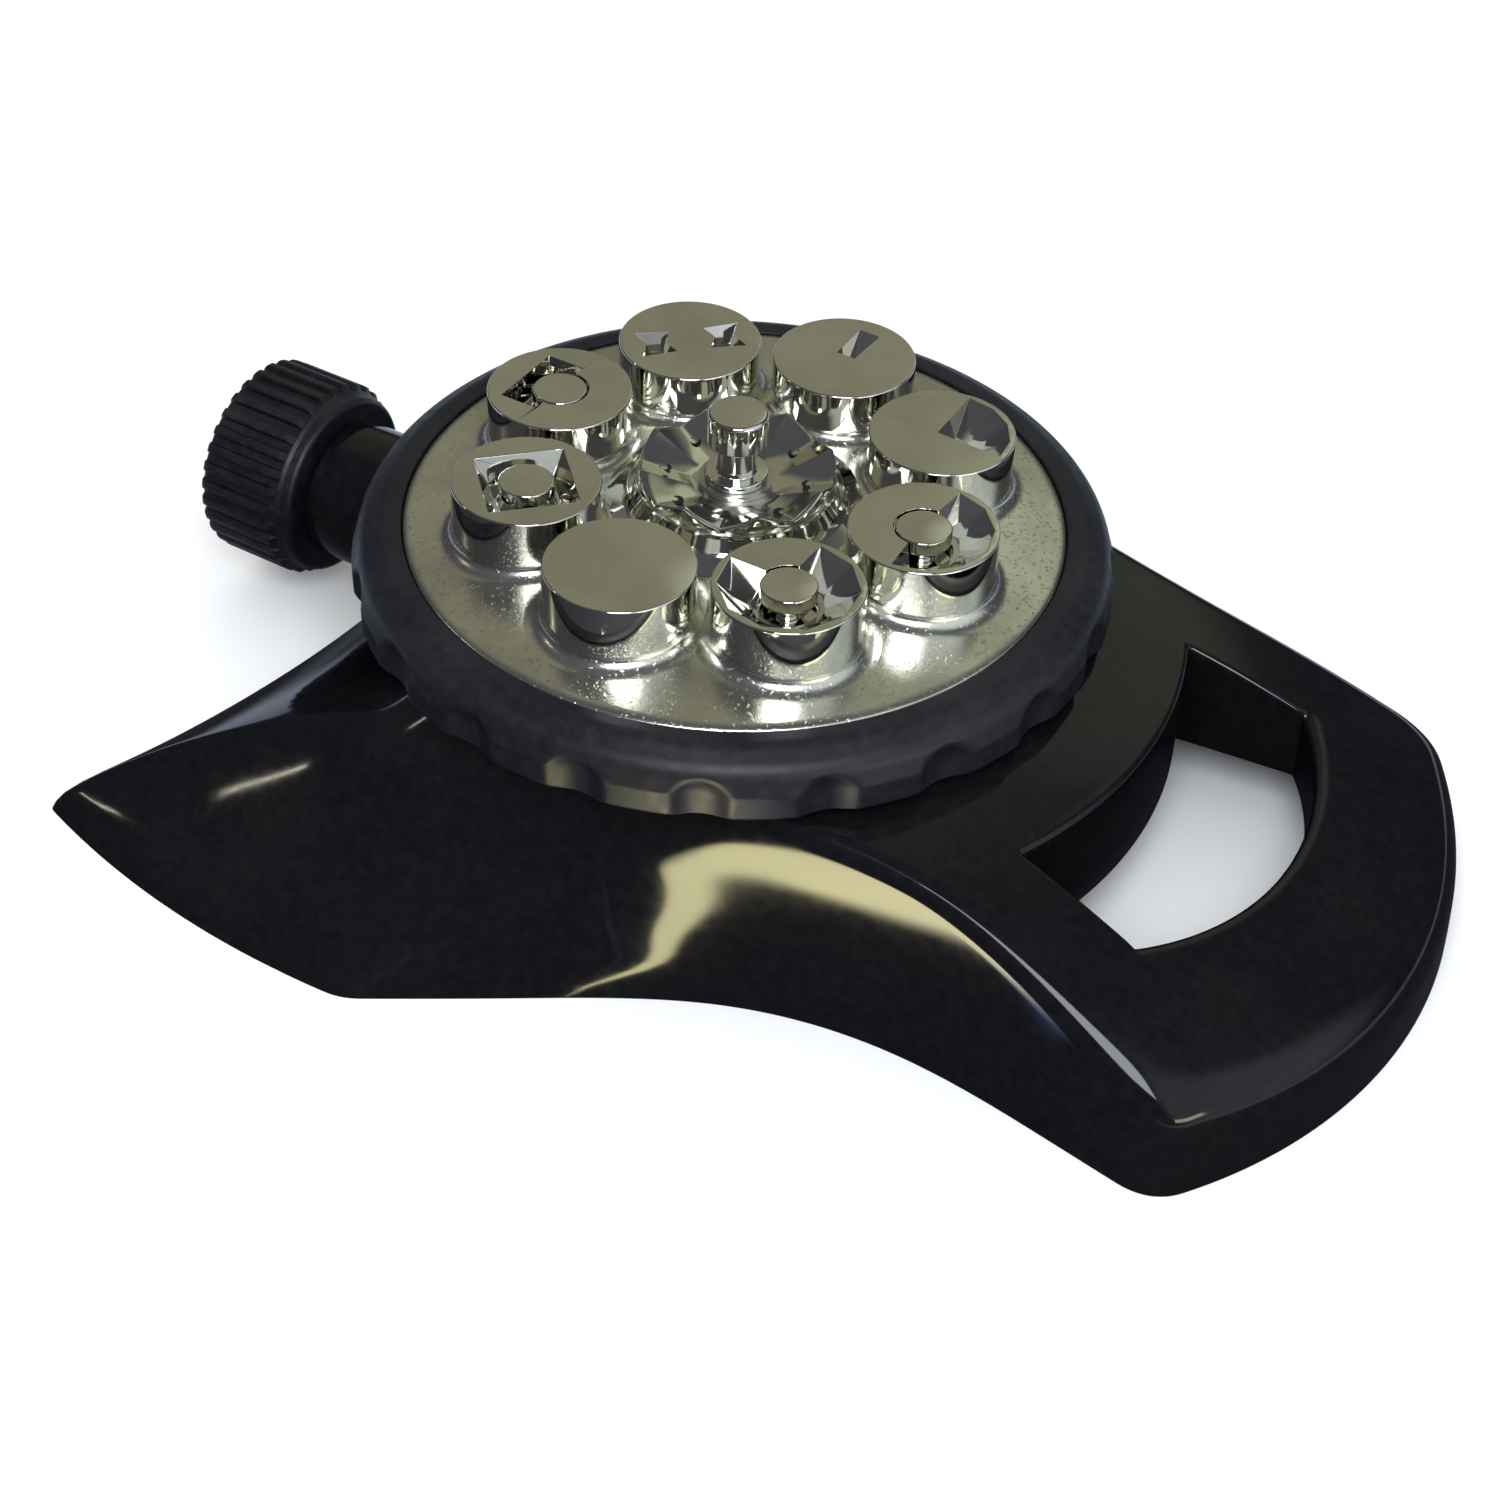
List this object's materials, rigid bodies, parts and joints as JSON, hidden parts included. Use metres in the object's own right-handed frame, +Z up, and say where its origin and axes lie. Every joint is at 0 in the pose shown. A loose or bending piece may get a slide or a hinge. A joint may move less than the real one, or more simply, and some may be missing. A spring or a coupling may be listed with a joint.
{
  "type": "dial sprinkler",
  "caption": "Stationary lawn sprinkler: a sled base with a carry handle and hose swivel, under a turning dial of spray nozzles, each cut for a different watering pattern.",
  "frame": {"origin": "middle of the overall length and width, on the ground; the head's axis stands 13.2 mm from it towards the hose", "axes": "+Z up along the head's axis, +X along the base towards its handle, -X towards the hose, +Y across the base"},
  "size_m": [0.2264, 0.173, 0.0688],
  "materials": {
    "gloss_black": "deep black moulded plastic, high gloss, lightly scuffed",
    "ring_plastic": "satin charcoal moulded plastic",
    "chrome": "bright chrome with a fine grain",
    "nut_plastic": "matte black ribbed plastic",
    "inner_plastic": "plain moulded plastic, not seen",
    "bearing_plastic": "slippery white plastic",
    "rubber": "soft black rubber",
    "steel": "plain stainless steel",
    "brass": "turned brass"
  },
  "bodies": {
    "base": {"base_shell": "gloss_black", "port_housing": "inner_plastic", "housing_screws": "steel", "port_seal": "rubber", "port_spring": "steel", "inlet_pipe": "gloss_black", "inlet_o_ring": "rubber", "swivel_tail": "brass", "seat_ring": "bearing_plastic", "detent_spring": "steel", "pivot_stud": "chrome", "pivot_nut": "steel", "pivot_washer": "steel"},
    "head": {"thrust_washer": "steel", "pivot_bush": "bearing_plastic", "grip_ring": "ring_plastic", "dial_plate": "chrome", "dial_carrier": "inner_plastic", "carrier_screws": "steel", "nozzle_gaskets": "rubber", "center_rosette": "chrome", "nozzle_twin_jet": "chrome", "nozzle_single_jet": "chrome", "nozzle_quarter_circle": "chrome", "nozzle_half_circle": "chrome", "nozzle_full_circle": "chrome", "nozzle_blank": "chrome", "nozzle_square": "chrome", "nozzle_half_square": "chrome", "deflector_half_circle": "chrome", "deflector_full_circle": "chrome", "deflector_square": "chrome", "deflector_half_square": "chrome"},
    "detent": {"detent_ball": "steel"},
    "hose_coupling": {"hose_nut": "nut_plastic", "hose_washer": "rubber", "inlet_screen": "steel"}
  },
  "joints": [
    {"name": "head_turn", "type": "hinge", "parent": "base", "child": "head", "pos_m": [-0.0132, 0, 0.04], "axis": [0, 0, 1], "continuous": true},
    {"name": "coupling_turn", "type": "hinge", "parent": "base", "child": "hose_coupling", "pos_m": [-0.1032, 0, 0.0216], "axis": [1, 0, 0], "continuous": true},
    {"name": "detent_rise", "type": "slide", "parent": "base", "child": "detent", "axis": [0, 0, 1], "range_m": [0, 0.0006], "stiffness_N_per_m": 300, "springref_m": 0.0025, "deforming": ["detent_spring"]}
  ]
}
